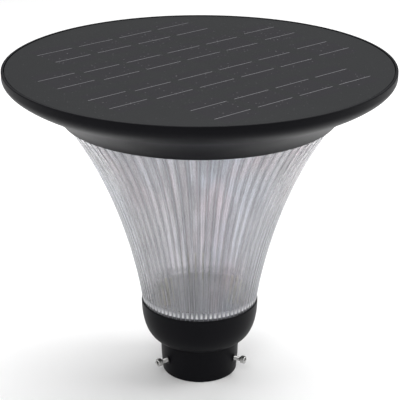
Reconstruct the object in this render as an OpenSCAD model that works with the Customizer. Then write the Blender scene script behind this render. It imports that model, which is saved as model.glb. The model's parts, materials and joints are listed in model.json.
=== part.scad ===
// Solar post-top lamp: a solar disc on a trumpet-shaped clear lens, with a socket that clamps on a post.
// The origin is the centre of the socket's bottom face, and +Z is up.

/* [Solar disc] */
// Outside diameter of the disc
disc_d = 480; // [476:1:490]
// Height of the disc and its collar above the lens
head_h = 62.9; // [62.5:0.1:66]
// Height of the straight part of the disc's edge
edge_h = 7.5; // [6:0.5:9]
// Depth of the panel below the lip
panel_sink = 0.6; // [0.2:0.1:1.5]

/* [Solar cells] */
// Length of a cell along its busbars
cell_l = 52; // [46:1:58]
// Width of a cell across its busbars
cell_w = 78; // [70:1:84]
// Distance between cells along a string
cell_pitch_l = 64.5; // [60:0.5:66]
// Distance between strings
cell_pitch_w = 97.3; // [90:0.1:98]
// Distance between the two busbars of a cell
busbar_gap = 39; // [30:1:50]
// Angle of the strings
string_angle = 37; // [0:1:90]

/* [Lens] */
// Height of the lens between the socket's lip and the collar
lens_h = 250.6; // [240:0.1:260]
// Outside radius of the lens at its foot
lens_foot_r = 73.9; // [73:0.1:74]
// Outside radius of the lens at the collar
lens_top_r = 168.3; // [166:0.1:168.4]
// Wall thickness of the lens
lens_wall = 3; // [2.5:0.1:4]

/* [Post socket] */
// Height of the bowl's lip above the bottom face
bowl_h = 100; // [98:0.5:104]
// Radius of the bowl's lip
bowl_r = 75.3; // [75:0.1:76]
// Outside radius of the neck at the bottom face
neck_r = 48.3; // [47.8:0.1:48.8]
// Radius of the post socket
socket_r = 43; // [41:0.5:43.5]
// Depth of the post socket
socket_depth = 46; // [44:0.5:46]

/* [Clamp screws] */
// Height of the clamp screws above the bottom face
screw_z = 22; // [18:1:30]
// Distance from the lamp's axis to the underside of a screw's head
screw_seat = 60.1; // [59.5:0.1:62]
// Length of a screw below its head
screw_l = 16; // [15.5:0.1:16.5]
// Radius of the screw's shank
screw_r = 2.95; // [2.9:0.01:2.97]
// Radius of the screw's head
screw_head_r = 5; // [4.5:0.1:5.5]
// Length of the screw's head
screw_head_h = 6; // [5:0.5:7]

/* [Power button] */
// Radius of the button's cap
button_r = 5.9; // [5.5:0.1:6]
// Travel of the button
button_travel = 2.5; // [1.5:0.5:3]

/* [Hidden] */
$fn = 96;
small_fn = 32;
eps = 1;
screw_angles = [90, 210, 330];

// Levels of the stack, from the bottom
neck_top_z = 45;
lip_z = bowl_h + 0.4;
ledge_z = bowl_h - 3;
gasket_t = 1.5;
foot_z = ledge_z + gasket_t;
foot_t = 3;
plate_z = foot_z + foot_t;
plate_t = 2;
collar_z = bowl_h + lens_h;
total_h = collar_z + head_h;
seat_z = collar_z + 15.4;
flange_z = seat_z + gasket_t;
flange_t = 3;
bulkhead_z = flange_z + flange_t;
bulkhead_t = 3;
deck_z = bulkhead_z + bulkhead_t;

// Radii of the head
disc_r = disc_d / 2;
lip_w = 3.2;
pocket_r = disc_r - lip_w;
panel_r = pocket_r - 0.6;
panel_ledge_r = disc_r - 16;
collar_r = 171;
collar_bore_r = 169;
seat_r = 181;
flange_r = seat_r - 0.7;
head_screw_r = 175;
head_screws = 6;

// Layers of the panel, from the top
glass_t = 2.4;
encapsulant_t = 0.8;
backsheet_t = 0.5;
seal_t = 1.2;
glass_z = total_h - panel_sink - glass_t;
encapsulant_z = glass_z - encapsulant_t;
backsheet_z = encapsulant_z - backsheet_t;
seal_z = backsheet_z - seal_t;
cell_t = 0.25;
ribbon_t = 0.2;
ribbon_w = 1.4;

// Curves: cubic and quadratic Bezier curves, and a superellipse for the bowl
function bez3(a, b, c, d, t) =
    pow(1 - t, 3) * a + 3 * t * pow(1 - t, 2) * b + 3 * t * t * (1 - t) * c + pow(t, 3) * d;
function curve3(a, b, c, d, n) = [for (i = [0:n]) bez3(a, b, c, d, i / n)];
function bez2(a, b, c, t) = pow(1 - t, 2) * a + 2 * t * (1 - t) * b + t * t * c;
function curve2(a, b, c, n) = [for (i = [0:n]) bez2(a, b, c, i / n)];
function backwards(p) = [for (i = [len(p) - 1:-1:0]) p[i]];
function shifted(p, d) = [for (q = p) q + d];

// The disc's rounded lower edge, and the cove that runs down from it to the collar
cove_top = [disc_r - 24.6, total_h - 29.5];
edge_curve = curve3([disc_r, total_h - edge_h], [disc_r, total_h - edge_h - 7.3],
    [disc_r - 10.8, total_h - 22.3], cove_top, 8);
cove_curve = curve2(cove_top, [collar_r + 10, collar_z + 14.4], [collar_r, collar_z], 8);
wall_shift = [-1.8, 2.8];

// The lens's outer curve, from its foot to the collar
lens_curve = curve3([lens_foot_r, lip_z], [lens_foot_r + 11.7, lip_z + 0.32 * lens_h],
    [lens_top_r - 52.2, lip_z + 0.715 * lens_h], [lens_top_r, collar_z], 18);

// The bowl's outer curve: a superellipse about a circle of radius bowl_core_r
bowl_core_r = 47;
bowl_power = 2.3;
bowl_drop = bowl_h - neck_top_z - 0.5;
bowl_wall = 3;
function bowl_point(z, drop, reach) =
    [bowl_core_r + reach * pow(1 - pow((bowl_h - z) / drop, bowl_power), 1 / bowl_power), z];
bowl_curve = [for (f = [0.97, 0.93, 0.86, 0.78, 0.68, 0.56, 0.42, 0.26, 0])
    bowl_point(bowl_h - f * bowl_drop, bowl_drop, bowl_r - bowl_core_r)];
bowl_inner_curve = [for (f = [0.3, 0.45, 0.6, 0.72, 0.82, 0.9, 0.95])
    bowl_point(bowl_h - f * (bowl_drop - bowl_wall), bowl_drop - bowl_wall, bowl_r - bowl_wall - bowl_core_r)];
bowl_floor_z = socket_depth + 4;
ledge_r = 62;
lip_inner_r = bowl_r - 1.1;

// Screws, studs and bosses
stud_circle_r = 51;
stud_r = 2.5;
stud_boss_r = 6;
stud_bottom_z = ledge_z - 22;
standoff_h = 38.5;
standoff_z = plate_z + plate_t;
base_nut_z = standoff_z + standoff_h;
base_nut_h = 6;
hex_af = 10;
m4_r = 2;
m4_clear_r = 2.3;
m3_r = 1.5;
insert_r = 4.2;
insert_bore_r = 3;
insert_flange_r = 5.5;
insert_flange_t = 1.2;
insert_face = 50.9;
insert_inner = socket_r + 0.4;
hex_socket_r = 2.9;
hex_socket_depth = 3;
pad_r = 2.4;
pad_t = 1;
pad_stem_r = 0.95;
pad_bore_r = 1;
pad_stem_l = 3;

// Battery pack: cells lie along X in two columns
battery_r = 16.1;
battery_l = 70.5;
battery_rows = 4;
battery_pitch_y = 33.5;
battery_x = 37;
holder_t = 2;
battery_z = deck_z + holder_t + 0.3 + battery_r;
holder_l = 152;
holder_w = battery_rows * battery_pitch_y + 2;
saddle_h = 12;
saddle_x = [-62, -12, 12, 62];
strap_x = [-37, 37];
strap_w = 12;
strap_t = 0.5;

// Controller
board_size = [90, 60, 1.6];
board_y = 112;
standoff_small_h = 6;
board_z = deck_z + standoff_small_h;
parts_z = board_z + board_size.z;
terminal_x = board_size.x / 2 - 14;
grommet_pos = [-20, 75.5];
grommet_r = 5;
wire_r = 1.2;

// LED ring
led_board_t = 1.6;
led_board_in_r = 60;
led_board_out_r = 148;
led_board_z = bulkhead_z - led_board_t;
led_size = [3.5, 2.8, 0.8];
led_rings = [[84, 18], [104, 24], [124, 30]];

// Power button, on a boss under the disc at the back
button_pos = [0, disc_r - 35];
boss_r = 13;
boss_z = total_h - 39.5;
boss_top_z = boss_z + 14.5;
barrel_r = 8;
switch_flange_r = 9.5;
switch_flange_t = 1.8;
button_bore_r = button_r + 0.3;
button_proud = button_travel + 0.3;
chamber_z = boss_z + 2;
chamber_r = 7.3;
chamber_top_z = chamber_z + 12;
barrel_top_z = chamber_top_z + 4;
collar_t = 2;
spring_r = 5.2;
spring_wire_r = 0.4;
spring_turns = 5;
spring_steps = 12;
spring_sides = 6;

// A ring with a square section, standing on z = 0
module ring(r_in, r_out, h) {
    difference() {
        cylinder(r = r_out, h = h);
        translate([0, 0, -eps]) cylinder(r = r_in, h = h + 2 * eps);
    }
}

// A straight hexagonal bar, by its distance across the flats
module hex_bar(af, h) {
    cylinder(r = af / 2 / cos(30), h = h, $fn = 6);
}

// Copies on a circle
module around(r, angles) {
    for (a = angles) rotate([0, 0, a]) translate([r, 0, 0]) children();
}

function circle_angles(n) = [for (i = [0:n - 1]) i * 360 / n];

// A round wire through a list of points, with rounded joints and ends
module wire(points, r) {
    for (i = [0:len(points) - 2])
        hull() {
            translate(points[i]) sphere(r = r, $fn = 12);
            translate(points[i + 1]) sphere(r = r, $fn = 12);
        }
}

// ---- Head ----

module top_housing() {
    color("#262628")
    difference() {
        union() {
            rotate_extrude() polygon(concat(
                [[pocket_r, total_h], [disc_r - 1, total_h], [disc_r, total_h - 1]],
                edge_curve,
                [for (i = [1:len(cove_curve) - 1]) cove_curve[i]],
                [[collar_bore_r, collar_z], [collar_bore_r, seat_z], [seat_r, seat_z]],
                shifted([for (i = [3:-1:0]) cove_curve[i]], wall_shift),
                [[panel_ledge_r, total_h - 21], [panel_ledge_r, seal_z], [pocket_r, seal_z]]));
            intersection() {
                translate([button_pos.x, button_pos.y, boss_z]) cylinder(r = boss_r, h = boss_top_z - boss_z);
                cylinder(r = disc_r - 5, h = total_h);
            }
        }
        translate([button_pos.x, button_pos.y, boss_z - 20]) cylinder(r = boss_r - 1, h = 20);
        translate([button_pos.x, button_pos.y, boss_z - eps]) cylinder(r = barrel_r + 0.1, h = 40);
        around(head_screw_r, circle_angles(head_screws))
            translate([0, 0, seat_z - 6]) cylinder(r = m4_r + 0.05, h = 6 + eps, $fn = small_fn);
    }
}

module panel_glass() {
    color("#3b3b3f")
    translate([0, 0, glass_z]) cylinder(r = panel_r, h = glass_t);
}

// Places of the cells: a block of four strings of four, and a pair of cells at each end of the middle strings
block_shift = [-4.5, -5.5];
end_cell_l = 164;
end_cell_w = 48.8;
cell_places = concat(
    [for (i = [-1.5:1:1.5]) for (j = [-1.5:1:1.5]) block_shift + [i * cell_pitch_l, j * cell_pitch_w]],
    [for (i = [-1, 1]) for (j = [-1, 1]) [i * end_cell_l, j * end_cell_w]]);

module cell_shapes() {
    rotate([0, 0, string_angle])
        for (p = cell_places)
            translate([p.x - cell_l / 2, p.y - cell_w / 2, encapsulant_z])
                cube([cell_l, cell_w, cell_t]);
}

module ribbon_shapes() {
    rotate([0, 0, string_angle])
        for (p = cell_places)
            for (s = [-1, 1])
                translate([p.x - cell_l / 2 + 1, p.y + s * busbar_gap / 2 - ribbon_w / 2, encapsulant_z + cell_t])
                    cube([cell_l - 2, ribbon_w, ribbon_t]);
}

module panel_encapsulant() {
    color("#4a4a50")
    difference() {
        translate([0, 0, encapsulant_z]) cylinder(r = panel_r, h = encapsulant_t);
        cell_shapes();
        ribbon_shapes();
    }
}

module solar_cells() {
    color("#2b2a33") cell_shapes();
}

module busbar_ribbons() {
    color("#b4b4b8") ribbon_shapes();
}

module panel_backsheet() {
    color("#303034")
    translate([0, 0, backsheet_z]) cylinder(r = panel_r, h = backsheet_t);
}

module panel_seal() {
    color("#161616")
    translate([0, 0, seal_z]) ring(panel_ledge_r + 1.5, panel_r - 0.5, seal_t);
}

junction_size = [60, 36, 12];
junction_y = -98;

module junction_box() {
    color("#202022")
    translate([-junction_size.x / 2, junction_y - junction_size.y / 2, backsheet_z - junction_size.z])
        cube(junction_size);
}

module panel_leads() {
    color("#a01818")
    for (s = [0, 1]) {
        lead_z = backsheet_z - 4 - 4 * s;
        out_x = 92 + 4 * s;
        wire([
            [junction_size.x / 2 + wire_r + 0.1, junction_y + 6 * s, lead_z],
            [out_x, junction_y + 24, lead_z],
            [out_x, board_y + 14, parts_z + 6],
            [terminal_x - 2 + 4 * s, board_y + 8 + wire_r + 0.1, parts_z + 2]
        ], wire_r);
    }
}

module battery_shapes(r) {
    for (i = [-1, 1])
        for (j = [0:battery_rows - 1])
            translate([i * battery_x - battery_l / 2, (j - (battery_rows - 1) / 2) * battery_pitch_y, battery_z])
                rotate([0, 90, 0]) cylinder(r = r, h = battery_l);
}

module battery_cells() {
    color("#2f6fb0") battery_shapes(battery_r);
}

module battery_holder() {
    color("#1d1d1f")
    difference() {
        union() {
            translate([-holder_l / 2, -holder_w / 2, deck_z]) cube([holder_l, holder_w, holder_t]);
            for (x = saddle_x)
                translate([x - 3, -holder_w / 2, deck_z]) cube([6, holder_w, saddle_h]);
        }
        battery_shapes(battery_r + 0.2);
    }
}

module battery_tabs() {
    color("#c9c7c0")
    for (i = [-1, 1])
        for (x = [i * (battery_x + battery_l / 2) + (i > 0 ? 0 : -0.3), i * (battery_x - battery_l / 2) + (i > 0 ? -0.3 : 0)])
            for (j = [-1, 1])
                translate([x, j * battery_pitch_y - battery_pitch_y / 2 - 6, battery_z - 4])
                    cube([0.3, battery_pitch_y + 12, 8]);
}

module battery_straps() {
    color("#8d8f92")
    for (x = strap_x)
        difference() {
            translate([x - strap_w / 2, -holder_w / 2 - strap_t - 0.2, deck_z])
                cube([strap_w, holder_w + 2 * strap_t + 0.4, battery_z + battery_r + 0.2 + strap_t - deck_z]);
            translate([x - strap_w, -holder_w / 2 - 0.2, deck_z - eps])
                cube([2 * strap_w, holder_w + 0.4, battery_z + battery_r + 0.2 + eps - deck_z]);
        }
}

module battery_leads() {
    color("#b02020")
    for (s = [-1, 1])
        wire([
            [s * (battery_x + battery_l / 2 + wire_r + 0.5), battery_pitch_y, battery_z],
            [s * 82, 78, battery_z - 4],
            [s * 50, board_y - 20, parts_z + 2],
            [s * terminal_x, board_y - 8 - wire_r - 0.1, parts_z + 2]
        ], wire_r);
}

module board_corners() {
    for (i = [-1, 1])
        for (j = [-1, 1])
            translate([i * (board_size.x / 2 - 4), board_y + j * (board_size.y / 2 - 4), 0]) children();
}

module controller_board() {
    color("#1f6b3a")
    difference() {
        translate([-board_size.x / 2, board_y - board_size.y / 2, board_z]) cube(board_size);
        board_corners() translate([0, 0, board_z - eps]) cylinder(r = m3_r + 0.2, h = board_size.z + 2 * eps, $fn = small_fn);
    }
}

module controller_parts() {
    color("#2a2a2c") {
        translate([-14, board_y + 8, parts_z]) cylinder(r = 7, h = 9);
        for (x = [8, 22]) translate([x, board_y + 16, parts_z]) cylinder(r = 5, h = 14);
        for (x = [-22, -13, -4]) translate([x, board_y - 14, parts_z]) cube([6, 8, 3]);
        translate([4, board_y - 10, parts_z]) cube([12, 12, 2]);
        for (s = [-1, 1]) translate([s * terminal_x - 5, board_y - 8, parts_z]) cube([10, 16, 4]);
    }
}

module controller_standoffs() {
    color("#c8a450")
    board_corners()
        difference() {
            translate([0, 0, deck_z]) hex_bar(5.5, standoff_small_h);
            translate([0, 0, deck_z + 1]) cylinder(r = m3_r + 0.05, h = standoff_small_h, $fn = small_fn);
        }
}

module controller_screws() {
    color("#b9bcc0")
    board_corners() {
        translate([0, 0, board_z - 4]) cylinder(r = m3_r, h = 4 + board_size.z + 0.1, $fn = small_fn);
        translate([0, 0, board_z + board_size.z]) cylinder(r = 2.75, h = 2, $fn = small_fn);
    }
}

module bulkhead_plate() {
    color("#a9acb0")
    difference() {
        translate([0, 0, bulkhead_z]) cylinder(r = flange_r, h = bulkhead_t);
        around(head_screw_r, circle_angles(head_screws))
            translate([0, 0, bulkhead_z - eps]) cylinder(r = m4_clear_r, h = bulkhead_t + 2 * eps, $fn = small_fn);
        translate([grommet_pos.x, grommet_pos.y, bulkhead_z - eps])
            cylinder(r = grommet_r, h = bulkhead_t + 2 * eps);
    }
}

module bulkhead_screws() {
    color("#b9bcc0")
    around(head_screw_r, circle_angles(head_screws)) {
        translate([0, 0, seat_z - 5]) cylinder(r = m4_r, h = deck_z - seat_z + 5.1, $fn = small_fn);
        difference() {
            translate([0, 0, deck_z]) cylinder(r = 3.5, h = 3.4, $fn = small_fn);
            translate([0, 0, deck_z + 1.4]) hex_bar(3, 3);
        }
    }
}

module cable_grommet() {
    color("#111111")
    translate([grommet_pos.x, grommet_pos.y, 0])
        rotate_extrude() polygon([
            [2.6, bulkhead_z + 0.2], [grommet_r - 0.1, bulkhead_z + 0.2], [grommet_r - 0.1, deck_z],
            [grommet_r + 2, deck_z], [grommet_r + 2, deck_z + 1.5], [2.6, deck_z + 1.5]]);
}

module led_leads() {
    color("#d0d0d0")
    for (s = [-1, 1])
        wire([
            [grommet_pos.x + s * 1.3, grommet_pos.y, bulkhead_z + 1.1],
            [grommet_pos.x + s * 1.3, grommet_pos.y, parts_z + 7],
            [grommet_pos.x + s * 1.3, board_y - 20, parts_z + 7],
            [grommet_pos.x + s * 1.3, board_y - 20, parts_z + 1.1]
        ], 1);
}

// ---- Light ----

module led_screw_places() {
    around(94, [45, 135, 225, 315]) children();
}

module led_board() {
    color("#ece9e0")
    difference() {
        translate([0, 0, led_board_z]) ring(led_board_in_r, led_board_out_r, led_board_t);
        led_screw_places() translate([0, 0, led_board_z - eps])
            cylinder(r = m3_r + 0.2, h = led_board_t + 2 * eps, $fn = small_fn);
    }
}

module led_chips() {
    color("#e8d870")
    for (row = led_rings)
        around(row[0], circle_angles(row[1]))
            translate([-led_size.x / 2, -led_size.y / 2, led_board_z - led_size.z]) cube(led_size);
}

module led_screws() {
    color("#b9bcc0")
    led_screw_places() {
        translate([0, 0, led_board_z - 0.1]) cylinder(r = m3_r, h = led_board_t + 0.1, $fn = small_fn);
        translate([0, 0, led_board_z - 2]) cylinder(r = 2.75, h = 2, $fn = small_fn);
    }
}

module light_reflector() {
    color("#f2f2f0")
    rotate_extrude() polygon([
        [led_board_out_r + 1, bulkhead_z - 0.2], [led_board_out_r + 3, bulkhead_z - 0.2],
        [lens_top_r - lens_wall - 1, collar_z + 3], [lens_top_r - lens_wall - 1, collar_z + 1],
        [lens_top_r - lens_wall - 3, collar_z + 1]]);
}

module lens_gasket_top() {
    color("#151515")
    difference() {
        translate([0, 0, seat_z]) ring(collar_bore_r + 0.3, flange_r, gasket_t);
        around(head_screw_r, circle_angles(head_screws))
            translate([0, 0, seat_z - eps]) cylinder(r = m4_clear_r, h = gasket_t + 2 * eps, $fn = small_fn);
    }
}

module lens() {
    color("#dfe3e8", 0.5)
    difference() {
        rotate_extrude() polygon(concat(
            [[stud_circle_r - 7, foot_z], [lens_foot_r - 0.2, foot_z]],
            lens_curve,
            [[lens_top_r, flange_z], [flange_r, flange_z], [flange_r, flange_z + flange_t],
             [lens_top_r - lens_wall, flange_z + flange_t]],
            backwards(shifted(lens_curve, [-lens_wall, 0.6])),
            [[lens_foot_r - lens_wall, plate_z], [stud_circle_r - 7, plate_z]]));
        around(head_screw_r, circle_angles(head_screws))
            translate([0, 0, flange_z - eps]) cylinder(r = m4_clear_r, h = flange_t + 2 * eps, $fn = small_fn);
        around(stud_circle_r, screw_angles)
            translate([0, 0, foot_z - eps]) cylinder(r = 3.2, h = foot_t + 2 * eps, $fn = small_fn);
    }
}

module lens_gasket_bottom() {
    color("#151515")
    translate([0, 0, ledge_z]) ring(ledge_r + 0.5, lip_inner_r - 0.7, gasket_t);
}

// ---- Base ----

module base_plate() {
    color("#c9cacc")
    difference() {
        translate([0, 0, plate_z]) cylinder(r = lens_foot_r - lens_wall - 1.4, h = plate_t);
        around(stud_circle_r, screw_angles)
            translate([0, 0, plate_z - eps]) cylinder(r = 3.2, h = plate_t + 2 * eps, $fn = small_fn);
    }
}

module base_studs() {
    color("#b9bcc0")
    around(stud_circle_r, screw_angles)
        translate([0, 0, stud_bottom_z]) cylinder(r = stud_r, h = base_nut_z + 7 - stud_bottom_z, $fn = small_fn);
}

module base_standoffs() {
    color("#c8a450")
    around(stud_circle_r, screw_angles)
        translate([0, 0, standoff_z])
            difference() {
                hex_bar(hex_af, standoff_h);
                translate([0, 0, -eps]) cylinder(r = stud_r + 0.1, h = standoff_h + 2 * eps, $fn = small_fn);
            }
}

module base_nuts() {
    color("#d5d7da")
    around(stud_circle_r, screw_angles)
        translate([0, 0, base_nut_z])
            difference() {
                union() {
                    hex_bar(hex_af, base_nut_h);
                    cylinder(r = 4.4, h = base_nut_h + 1);
                    translate([0, 0, base_nut_h + 1]) sphere(r = 4.4);
                }
                translate([0, 0, -eps]) cylinder(r = stud_r + 0.1, h = 8.2 + eps, $fn = small_fn);
            }
}

module base_housing() {
    color("#232326")
    difference() {
        union() {
            rotate_extrude() polygon(concat(
                [[0, bowl_floor_z], [0, socket_depth], [socket_r, socket_depth], [socket_r, 1],
                 [socket_r + 1, 0], [neck_r - 1, 0], [neck_r, 1], [neck_r + 1.7, 20],
                 [neck_r + 2.7, neck_top_z]],
                bowl_curve,
                [[bowl_r, lip_z], [lip_inner_r, lip_z], [lip_inner_r, ledge_z], [ledge_r, ledge_z],
                 [ledge_r, ledge_z - 3]],
                bowl_inner_curve,
                [[bowl_core_r, bowl_floor_z]]));
            around(stud_circle_r, screw_angles)
                translate([0, 0, bowl_floor_z - eps])
                    cylinder(r = stud_boss_r, h = foot_z - bowl_floor_z + eps);
        }
        around(stud_circle_r, screw_angles)
            translate([0, 0, stud_bottom_z - 1]) cylinder(r = stud_r + 0.05, h = 60, $fn = small_fn);
        around(0, screw_angles)
            translate([0, 0, screw_z]) rotate([0, 90, 0]) {
                translate([0, 0, socket_r - 5]) cylinder(r = insert_r + 0.05, h = 20, $fn = small_fn);
                translate([0, 0, insert_face - insert_flange_t]) cylinder(r = insert_flange_r + 0.2, h = 20);
            }
    }
}

module thread_inserts() {
    color("#9a9da1")
    around(0, screw_angles)
        translate([0, 0, screw_z]) rotate([0, 90, 0])
            difference() {
                union() {
                    translate([0, 0, insert_inner]) cylinder(r = insert_r, h = insert_face - insert_inner - 0.1);
                    translate([0, 0, insert_face - insert_flange_t])
                        cylinder(r = insert_flange_r, h = insert_flange_t);
                }
                translate([0, 0, insert_inner - eps])
                    cylinder(r = insert_bore_r, h = insert_face - insert_inner + 2 * eps);
            }
}

// A clamp screw along its own axis, with its head outwards
module clamp_screw(a) {
    color("#b9bcc0")
    rotate([0, 0, a]) translate([0, 0, screw_z]) rotate([0, 90, 0])
        difference() {
            union() {
                translate([0, 0, screw_seat - screw_l]) cylinder(r = screw_r, h = screw_l + 0.1);
                translate([0, 0, screw_seat]) cylinder(r = screw_head_r, h = screw_head_h);
            }
            translate([0, 0, screw_seat + screw_head_h - hex_socket_depth])
                cylinder(r = hex_socket_r, h = hex_socket_depth + eps, $fn = 6);
            translate([0, 0, screw_seat - screw_l - eps]) cylinder(r = pad_bore_r, h = pad_stem_l + 0.2 + eps);
        }
}

// The nylon pad in a clamp screw's tip, which doesn't turn with the screw
module clamp_pad(a) {
    color("#e6e2d6")
    rotate([0, 0, a]) translate([0, 0, screw_z]) rotate([0, 90, 0]) {
        translate([0, 0, screw_seat - screw_l - pad_t - 0.05]) cylinder(r = pad_r, h = pad_t);
        translate([0, 0, screw_seat - screw_l - pad_t]) cylinder(r = pad_stem_r, h = pad_stem_l + pad_t);
    }
}

module clamp_screw_1() { clamp_screw(screw_angles[0]); }
module clamp_screw_2() { clamp_screw(screw_angles[1]); }
module clamp_screw_3() { clamp_screw(screw_angles[2]); }
module clamp_pad_1() { clamp_pad(screw_angles[0]); }
module clamp_pad_2() { clamp_pad(screw_angles[1]); }
module clamp_pad_3() { clamp_pad(screw_angles[2]); }

// ---- Power button ----

module switch_body() {
    color("#1b1b1d")
    translate([button_pos.x, button_pos.y, 0])
        rotate_extrude() polygon([
            [button_bore_r, boss_z - switch_flange_t], [switch_flange_r - 0.6, boss_z - switch_flange_t],
            [switch_flange_r, boss_z - switch_flange_t + 0.6], [switch_flange_r, boss_z], [barrel_r, boss_z],
            [barrel_r, barrel_top_z], [0, barrel_top_z], [0, chamber_top_z], [chamber_r, chamber_top_z],
            [chamber_r, chamber_z], [button_bore_r, chamber_z]]);
}

module switch_nut() {
    color("#9a9da1")
    translate([button_pos.x, button_pos.y, boss_top_z])
        difference() {
            hex_bar(20, 3);
            translate([0, 0, -eps]) cylinder(r = barrel_r + 0.05, h = 3 + 2 * eps);
        }
}

module switch_leads() {
    color("#303030")
    for (s = [-1, 1])
        wire([
            [button_pos.x + 3 * s, button_pos.y, barrel_top_z + 1.1],
            [button_pos.x + 3 * s, button_pos.y, barrel_top_z + 5],
            [button_pos.x + 3 * s, board_y + 22, barrel_top_z + 3],
            [button_pos.x + 3 * s, board_y + 22, parts_z + 1.1]
        ], 1);
}

// The spring is a tube swept along a helix; each ring of points stands across the wire
spring_low_z = chamber_z + collar_t + 0.3 + spring_wire_r + 0.1;
spring_high_z = chamber_top_z - spring_wire_r - 0.1;
function spring_centre(i) =
    let (t = i / (spring_turns * spring_steps), a = i * 360 / spring_steps)
    [spring_r * cos(a), spring_r * sin(a), spring_low_z + t * (spring_high_z - spring_low_z)];
function spring_ring(i) =
    [for (k = [0:spring_sides - 1])
        let (a = i * 360 / spring_steps, b = k * 360 / spring_sides)
        spring_centre(i) + spring_wire_r * [cos(b) * cos(a), cos(b) * sin(a), sin(b)]];
spring_rings = spring_turns * spring_steps;

module button_spring() {
    points = [for (i = [0:spring_rings]) each spring_ring(i)];
    sides = [for (i = [0:spring_rings - 1]) for (k = [0:spring_sides - 1])
        [i * spring_sides + k, (i + 1) * spring_sides + k, (i + 1) * spring_sides + (k + 1) % spring_sides,
         i * spring_sides + (k + 1) % spring_sides]];
    first_cap = [[for (k = [0:spring_sides - 1]) k]];
    last_cap = [[for (k = [spring_sides - 1:-1:0]) spring_rings * spring_sides + k]];
    color("#b9bcc0")
    translate([button_pos.x, button_pos.y, 0])
        polyhedron(points = points, faces = concat(sides, first_cap, last_cap));
}

module power_button() {
    low_z = boss_z - switch_flange_t - button_proud;
    color("#2c2c30")
    translate([button_pos.x, button_pos.y, 0])
        rotate_extrude() polygon([
            [0, low_z], [button_r - 1, low_z], [button_r, low_z + 1], [button_r, chamber_z + 0.3],
            [chamber_r - 0.3, chamber_z + 0.3], [chamber_r - 0.3, chamber_z + 0.3 + collar_t],
            [0, chamber_z + 0.3 + collar_t]]);
}

// ---- Nodes ----

top_housing();
panel_glass();
panel_encapsulant();
solar_cells();
busbar_ribbons();
panel_backsheet();
panel_seal();
junction_box();
panel_leads();
battery_cells();
battery_holder();
battery_tabs();
battery_straps();
battery_leads();
controller_board();
controller_parts();
controller_standoffs();
controller_screws();
bulkhead_plate();
bulkhead_screws();
cable_grommet();
led_leads();
led_board();
led_chips();
led_screws();
light_reflector();
lens_gasket_top();
lens();
lens_gasket_bottom();
base_plate();
base_studs();
base_standoffs();
base_nuts();
base_housing();
thread_inserts();
clamp_screw_1();
clamp_screw_2();
clamp_screw_3();
clamp_pad_1();
clamp_pad_2();
clamp_pad_3();
switch_body();
switch_nut();
switch_leads();
button_spring();
power_button();
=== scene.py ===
"""A solar post-top lamp, finished round its CAD frame.

Each sub-assembly is a class that holds its sizes and builds its surfaces, and each finish is a frozen
dataclass that makes its own material. All sizes are metres in the frame of the CAD model: +Z up, with
the origin at the centre of the socket's bottom face.
"""

import json
import logging
import math
from dataclasses import dataclass
from enum import Enum
from typing import Callable, Sequence, Union

import bmesh
import bpy
import numpy as np
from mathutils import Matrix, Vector


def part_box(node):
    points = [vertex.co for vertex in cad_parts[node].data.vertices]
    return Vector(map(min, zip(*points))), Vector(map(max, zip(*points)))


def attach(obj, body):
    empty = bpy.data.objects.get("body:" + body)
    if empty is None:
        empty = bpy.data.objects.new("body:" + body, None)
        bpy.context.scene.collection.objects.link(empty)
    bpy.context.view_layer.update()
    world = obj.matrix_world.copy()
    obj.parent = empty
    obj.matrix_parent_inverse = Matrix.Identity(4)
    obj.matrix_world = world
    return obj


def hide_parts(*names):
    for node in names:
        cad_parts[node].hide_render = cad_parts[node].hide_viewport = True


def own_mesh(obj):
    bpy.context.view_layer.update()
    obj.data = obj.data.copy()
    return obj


log = logging.getLogger("lamp")
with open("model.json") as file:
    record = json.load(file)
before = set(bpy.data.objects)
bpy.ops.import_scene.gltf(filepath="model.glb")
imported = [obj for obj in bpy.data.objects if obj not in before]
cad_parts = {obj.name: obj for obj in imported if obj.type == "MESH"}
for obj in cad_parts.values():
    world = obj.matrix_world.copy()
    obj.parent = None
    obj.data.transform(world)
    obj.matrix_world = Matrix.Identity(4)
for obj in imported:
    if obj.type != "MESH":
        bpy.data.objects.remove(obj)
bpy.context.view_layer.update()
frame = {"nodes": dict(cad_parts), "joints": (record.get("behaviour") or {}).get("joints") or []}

MM = 0.001
LAMP_BODY = "lamp"
SCREW_COUNT = 3
FLUTES = 80
STRING_ANGLE = 37.0
WELD = 1e-7
CREASE = 32.0


# ---------------------------------------------------------------------------
# Shader maths
# ---------------------------------------------------------------------------

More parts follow.
